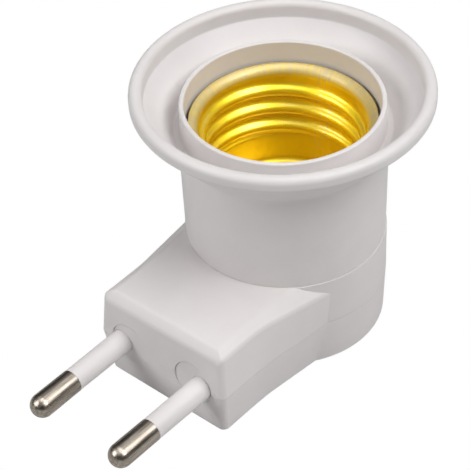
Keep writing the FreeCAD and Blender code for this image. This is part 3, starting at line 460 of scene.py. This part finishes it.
# A few pale marks stand at the back of the wall, between two directions in radians.
gold_marks_from = spread(gold_tree, 0.0, 1.0, 1.58, 1.66, smooth=True)
gold_marks_to = spread(gold_tree, 0.0, 1.0, 1.92, 1.80, smooth=True)
gold_marks_in = spread(gold_tree, 0.0, 1.0, 0.54, 0.60)
gold_marks_at = gold_sum("MULTIPLY")
gold_marks = gold_sum("MULTIPLY")
gold_pale = gold_sum("MULTIPLY_ADD", 0.4)
# The pale colour mixed in on the rim is scuffs plus a painted highlight; on the wall it is
# scratches.
gold_mix = gold_tree.nodes.new("ShaderNodeMix")
gold_mix.data_type = "RGBA"
gold_mix.inputs["B"].default_value = (0.68, 0.58, 0.34, 1)
connect(
    gold_tree,
    (
        (gold_place.outputs["Object"], gold_split.inputs["Vector"]),
        (gold_split.outputs["Y"], gold_angle.inputs[0]),
        (gold_split.outputs["X"], gold_angle.inputs[1]),
        (gold_angle.outputs["Value"], gold_long.inputs[0]),
        (gold_split.outputs["Z"], gold_tall.inputs[0]),
        (gold_long.outputs["Value"], gold_streaks_at.inputs["X"]),
        (gold_tall.outputs["Value"], gold_streaks_at.inputs["Y"]),
        (gold_streaks_at.outputs["Vector"], gold_streaks.inputs["Vector"]),
        (gold_place.outputs["Object"], gold_patches.inputs["Vector"]),
        (gold_split.outputs["Z"], gold_rim.inputs["Value"]),
        (gold_streaks.outputs["Fac"], gold_scuffs_and_sheen.inputs["Value"]),
        (gold_rim.outputs["Result"], gold_share.inputs[0]),
        (gold_scuffs_and_sheen.outputs["Result"], gold_share.inputs[1]),
        (gold_patches.outputs["Fac"], gold_tint.inputs["Fac"]),
        (gold_angle.outputs["Value"], gold_marks_from.inputs["Value"]),
        (gold_angle.outputs["Value"], gold_marks_to.inputs["Value"]),
        (gold_marks_from.outputs["Result"], gold_marks_at.inputs[0]),
        (gold_marks_to.outputs["Result"], gold_marks_at.inputs[1]),
        (gold_streaks.outputs["Fac"], gold_marks_in.inputs["Value"]),
        (gold_marks_at.outputs["Value"], gold_marks.inputs[0]),
        (gold_marks_in.outputs["Result"], gold_marks.inputs[1]),
        (gold_marks.outputs["Value"], gold_pale.inputs[0]),
        (gold_share.outputs["Value"], gold_pale.inputs[2]),
        (gold_pale.outputs["Value"], gold_mix.inputs["Factor"]),
        (gold_tint.outputs["Color"], gold_mix.inputs["A"]),
        (gold_mix.outputs["Result"], gold_shader.inputs["Base Color"]),
        (gold_patches.outputs["Fac"], gold_rough.inputs["Value"]),
        (gold_rim.outputs["Result"], gold_coat.inputs[0]),
        (gold_coat.outputs["Value"], gold_shader.inputs["Coat Weight"]),
        (gold_rim.outputs["Result"], gold_dull.inputs[0]),
        (gold_rough.outputs["Result"], gold_dull.inputs[2]),
        (gold_dull.outputs["Value"], gold_shader.inputs["Roughness"]),
        (gold_streaks.outputs["Fac"], gold_relief.inputs["Height"]),
        (gold_relief.outputs["Normal"], gold_shader.inputs["Normal"]),
    ),
)

shell_profile = []
for step in range(13):
    turn = math.radians(90 + 90 * step / 12)
    lip_x = MOUTH_RADIUS + LIP_RADIUS + LIP_RADIUS * math.cos(turn)
    shell_profile.append((lip_x, LIP_HEIGHT + LIP_RADIUS * math.sin(turn)))
for step in range(1, WALL_ROWS + 1):
    height = LIP_HEIGHT - (LIP_HEIGHT - FOOT_HEIGHT) * step / WALL_ROWS
    shell_profile.append((MOUTH_RADIUS, height))
for step in range(1, 9):
    turn = math.radians(-90 * step / 8)
    foot_x = SMOOTH_RADIUS - FOOT_RADIUS + FOOT_RADIUS * math.cos(turn)
    shell_profile.append((foot_x, FOOT_HEIGHT + FOOT_RADIUS * math.sin(turn)))
shell_profile.append((FLOOR_MIDDLE, SHELL_FLOOR))
shell_profile.append((FLOOR_HOLE, SHELL_FLOOR))


def ease(value):
    """A soft step from 0 to 1."""
    value = min(max(value, 0.0), 1.0)
    return value * value * (3 - 2 * value)


def wall_radius(angle, height):
    """Inner radius of the shell's wall, in millimetres, with its rolled thread."""
    turn = (angle - TOP_CREST_ANGLE + math.pi) % math.tau - math.pi
    crest = TOP_CREST + THREAD_PITCH * turn / math.tau
    above = height - crest
    if above > THREAD_PITCH / 2:
        offset = THREAD_PITCH / 2
    else:
        offset = above - round(above / THREAD_PITCH) * THREAD_PITCH
    if abs(offset) < THREAD_PITCH / 4:
        thread = CREST_RADIUS + KNUCKLE - math.sqrt(KNUCKLE**2 - offset**2)
    else:
        rest = THREAD_PITCH / 2 - abs(offset)
        thread = GROOVE_RADIUS - KNUCKLE + math.sqrt(KNUCKLE**2 - rest**2)
    if above > -THREAD_PITCH / 2:
        run_out = ease((math.pi - turn) / THREAD_RUN_OUT)
        thread = thread * run_out + GROOVE_RADIUS * (1 - run_out)
    top_share = ease((THREAD_TOP - height) / THREAD_FADE)
    foot_share = ease((height - THREAD_FOOT) / THREAD_FADE)
    wall = thread * foot_share + SMOOTH_RADIUS * (1 - foot_share)
    return wall * top_share + MOUTH_RADIUS * (1 - top_share)


# Every point of the plain wall, from its foot to just below the lip, moves to its place
# on the thread, and the inner skin then gets the sheet's thickness on its outside.
shell_work = bmesh.new()
spun(shell_work, shell_profile, SEAT, SHELL_STEPS, closed=False)
for vert in shell_work.verts:
    height = (vert.co.z - SEAT) / MM
    radius = math.hypot(vert.co.x, vert.co.y) / MM
    on_wall = FOOT_HEIGHT - 0.01 < height < LIP_HEIGHT - 0.01
    if on_wall and radius > SMOOTH_RADIUS + 0.5:
        share = wall_radius(math.atan2(vert.co.y, vert.co.x), height) / radius
        vert.co.x *= share
        vert.co.y *= share
threaded_shell = made_piece("threaded_shell", shell_work, gold)
sheet = threaded_shell.modifiers.new("brass sheet", "SOLIDIFY")
sheet.thickness = SHELL_SHEET * MM
sheet.offset = -1.0
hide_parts("screw_shell")

# Pins: turned brass, nickel-plated and round-ended, held by the carrier inside the
# body. Each stands in a white sleeve that leaves its outer part bare. They lean very
# slightly together.
PIN_FACE = -FACE_REACH * MM
PIN_HALF_SPACING = 8.4 * MM
PIN_LENGTH = 20.0
PIN_LEAN = math.atan(0.1 / PIN_LENGTH)
PIN_RADIUS = 2.0
PIN_CORE = 1.4
PIN_TAIL = -9.0
PIN_STEPS = 96
SLEEVE_LENGTH = 11.4
SLEEVE_ROOT = -1.9
SLEEVE_RADIUS = 1.97
SLEEVE_GAP = 0.05


def worn_metal(name, dark, light, fineness, detail, roughness, strength):
    """Bare metal whose colour, gloss and fine relief follow one cloudy pattern."""
    metal = bpy.data.materials.new(name)
    metal.use_nodes = True
    tree = metal.node_tree
    shader = tree.nodes["Principled BSDF"]
    shader.inputs["Metallic"].default_value = 1.0
    place = tree.nodes.new("ShaderNodeTexCoord")
    stretch = tree.nodes.new("ShaderNodeMapping")
    stretch.inputs["Scale"].default_value = fineness
    cloud = noise(tree, 1.0, detail)
    tint = shades(tree, dark, light)
    worn = spread(tree, *roughness)
    bumps = relief(tree, strength, 0.02)
    connect(
        tree,
        (
            (place.outputs["Object"], stretch.inputs["Vector"]),
            (stretch.outputs["Vector"], cloud.inputs["Vector"]),
            (cloud.outputs["Fac"], tint.inputs["Fac"]),
            (tint.outputs["Color"], shader.inputs["Base Color"]),
            (cloud.outputs["Fac"], worn.inputs["Value"]),
            (worn.outputs["Result"], shader.inputs["Roughness"]),
            (cloud.outputs["Fac"], bumps.inputs["Height"]),
            (bumps.outputs["Normal"], shader.inputs["Normal"]),
        ),
    )
    return metal


nickel = worn_metal(
    "nickel plating",
    dark=(0.30, 0.258, 0.208),
    light=(0.52, 0.465, 0.405),
    fineness=(2600.0, 160.0, 2600.0),
    detail=3.0,
    roughness=(0.24, 0.38),
    strength=0.25,
)
pin_section = [
    (0.0, PIN_TAIL),
    (PIN_CORE, PIN_TAIL),
    (PIN_CORE, SLEEVE_LENGTH - 0.02),
    (SLEEVE_RADIUS, SLEEVE_LENGTH),
]
for step in range(17):
    turn = math.radians(90 * step / 16)
    pin_section.append(
        (PIN_RADIUS * math.cos(turn), PIN_LENGTH - PIN_RADIUS + PIN_RADIUS * math.sin(turn))
    )
sleeve_section = rounded_section(
    (
        (PIN_CORE, SLEEVE_ROOT, 0.0),
        (SLEEVE_RADIUS, SLEEVE_ROOT, 0.0),
        (SLEEVE_RADIUS - 0.03, SLEEVE_LENGTH - SLEEVE_GAP, 0.06),
        (PIN_CORE, SLEEVE_LENGTH - SLEEVE_GAP, 0.0),
    ),
    3,
)
for side, name in ((-1, "left"), (1, "right")):
    lay = (
        Matrix.Translation((side * PIN_HALF_SPACING, PIN_FACE, PARTING_HEIGHT * MM))
        @ Matrix.Rotation(side * -PIN_LEAN, 4, "Z")
        @ Matrix.Rotation(math.radians(90), 4, "X")
    )
    pin = turned_piece("bare_pin_" + name, pin_section, 0.0, nickel, PIN_STEPS, closed=False)
    pin.data.transform(lay)
    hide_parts("pin_" + name)
    sleeve = turned_piece("white_sleeve_" + name, sleeve_section, 0.0, plastic, PIN_STEPS)
    sleeve.data.transform(lay)
    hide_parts("pin_sleeve_" + name)

# Pin carrier and contact base: plain white mouldings inside the body. The carrier's
# two round bosses show in the pin face, the base's hub at the bottom of the socket.
for node in ("pin_carrier", "contact_base"):
    joined_copy(node, plastic)

# Contacts, rivets and conductor strips: rolled brass, cut and folded, a little dull
# from handling. The rivets hold the shell and the lamp's contact to the base.
brass = worn_metal(
    "rolled brass",
    dark=(0.72, 0.50, 0.17),
    light=(0.82, 0.62, 0.26),
    fineness=(700.0, 700.0, 700.0),
    detail=4.0,
    roughness=(0.26, 0.42),
    strength=0.2,
)
for node in ("centre_contact", "centre_rivet", "shell_rivets", "live_strip", "neutral_strip"):
    joined_copy(node, brass)

# Screws, washers and the backing spring: zinc-plated steel with a fine clouded
# surface. They hold the cover, the tower and the strips, and press on the contact.
steel = worn_metal(
    "zinc plated steel",
    dark=(0.50, 0.50, 0.52),
    light=(0.60, 0.60, 0.61),
    fineness=(1100.0, 1100.0, 1100.0),
    detail=4.0,
    roughness=(0.28, 0.42),
    strength=0.2,
)
for node in (
    "cover_screws",
    "tower_screws",
    "tail_screws",
    "tail_washers",
    "rivet_washer",
    "backing_spring",
):
    joined_copy(node, steel)

# Floor: one plain pale sheet just under the object. The camera sees it as white, and
# everything else as light grey.
FLOOR_DROP = 0.1 * MM
FLOOR_HALF_WIDTH = 1.5
floor_work = bmesh.new()
bmesh.ops.create_grid(floor_work, x_segments=1, y_segments=1, size=FLOOR_HALF_WIDTH)
bmesh.ops.translate(floor_work, verts=floor_work.verts, vec=(0, 0, -FLOOR_DROP))
floor_mesh = bpy.data.meshes.new("floor")
floor_work.to_mesh(floor_mesh)
floor_work.free()
floor = bpy.data.objects.new("floor", floor_mesh)
bpy.context.scene.collection.objects.link(floor)
floor_paint = bpy.data.materials.new("pale floor")
floor_paint.use_nodes = True
floor_tree = floor_paint.node_tree
floor_shader = floor_tree.nodes["Principled BSDF"]
floor_shader.inputs["Base Color"].default_value = (0.6, 0.6, 0.6, 1)
floor_shader.inputs["Roughness"].default_value = 1.0
floor_shader.inputs["Specular IOR Level"].default_value = 0.0
floor_white = floor_tree.nodes.new("ShaderNodeEmission")
floor_seen = floor_tree.nodes.new("ShaderNodeLightPath")
floor_mix = floor_tree.nodes.new("ShaderNodeMixShader")
connect(
    floor_tree,
    (
        (floor_seen.outputs["Is Camera Ray"], floor_mix.inputs["Fac"]),
        (floor_shader.outputs["BSDF"], floor_mix.inputs[1]),
        (floor_white.outputs["Emission"], floor_mix.inputs[2]),
        (floor_mix.outputs["Shader"], floor_tree.nodes["Material Output"].inputs["Surface"]),
    ),
)
floor.data.materials.append(floor_paint)

# Studio: large soft lights above, strongest from the right and the front, and a
# faint even glow all round. Polished surfaces also see a bright patch of sky straight
# overhead, which lights nothing else.
EVEN_GLOW = 0.03
LIGHT_SIZE = 0.6
LIGHT_AIM = Vector((0, 0, 0.02))
studio = bpy.data.worlds.new("studio")
bpy.context.scene.world = studio
studio.use_nodes = True
studio_tree = studio.node_tree
studio_glow = studio_tree.nodes["Background"]
studio_glow.inputs["Color"].default_value = (1, 1, 1, 1)
studio_way = studio_tree.nodes.new("ShaderNodeTexCoord")
studio_split = studio_tree.nodes.new("ShaderNodeSeparateXYZ")
studio_sky = spread(studio_tree, 0.0, 0.8, 0.6, 0.95)
studio_ray = studio_tree.nodes.new("ShaderNodeLightPath")
studio_sum = studio_tree.nodes.new("ShaderNodeMath")
studio_sum.operation = "MULTIPLY_ADD"
studio_sum.inputs[2].default_value = EVEN_GLOW
connect(
    studio_tree,
    (
        (studio_way.outputs["Generated"], studio_split.inputs["Vector"]),
        (studio_split.outputs["Z"], studio_sky.inputs["Value"]),
        (studio_sky.outputs["Result"], studio_sum.inputs[0]),
        (studio_ray.outputs["Is Glossy Ray"], studio_sum.inputs[1]),
        (studio_sum.outputs["Value"], studio_glow.inputs["Strength"]),
    ),
)
for name, place, watts in (
    ("right light", (0.75, 0.10, 0.90), 6.0),
    ("front left light", (-0.45, -0.75, 0.60), 4.8),
    ("back right light", (0.55, 0.30, 0.85), 2.4),
    ("back light", (-0.10, 0.95, 0.40), 1.1),
    ("top light", (0.0, 0.0, 1.0), 2.3),
):
    lamp = bpy.data.lights.new(name, "AREA")
    lamp.shape = "SQUARE"
    lamp.size = LIGHT_SIZE
    lamp.energy = watts
    stand = bpy.data.objects.new(name, lamp)
    stand.location = place
    aim = LIGHT_AIM - Vector(place)
    stand.rotation_euler = aim.to_track_quat("-Z", "Y").to_euler()
    bpy.context.scene.collection.objects.link(stand)

# Camera: a long lens from the right front, looking down at about forty degrees and
# turned a little about its own axis.
CAMERA_PLACE = (153.50 * MM, -180.82 * MM, 219.86 * MM)
camera_data = bpy.data.cameras.new("camera")
camera_data.sensor_width = 36.0
camera_data.lens = 145.84
camera_data.clip_start = 0.01
camera = bpy.data.objects.new("camera", camera_data)
azimuth, elevation, roll = (math.radians(angle) for angle in (42.357, 40.931, -2.713))
back = Vector(
    (
        math.sin(azimuth) * math.cos(elevation),
        -math.cos(azimuth) * math.cos(elevation),
        math.sin(elevation),
    )
)
level = Vector((math.cos(azimuth), math.sin(azimuth), 0))
upward = back.cross(level)
right = level * math.cos(roll) + upward * math.sin(roll)
up = upward * math.cos(roll) - level * math.sin(roll)
camera.matrix_world = Matrix(
    (
        (right.x, up.x, back.x, CAMERA_PLACE[0]),
        (right.y, up.y, back.y, CAMERA_PLACE[1]),
        (right.z, up.z, back.z, CAMERA_PLACE[2]),
        (0, 0, 0, 1),
    )
)
bpy.context.scene.collection.objects.link(camera)
bpy.context.scene.camera = camera
bpy.context.scene.view_settings.view_transform = "Standard"
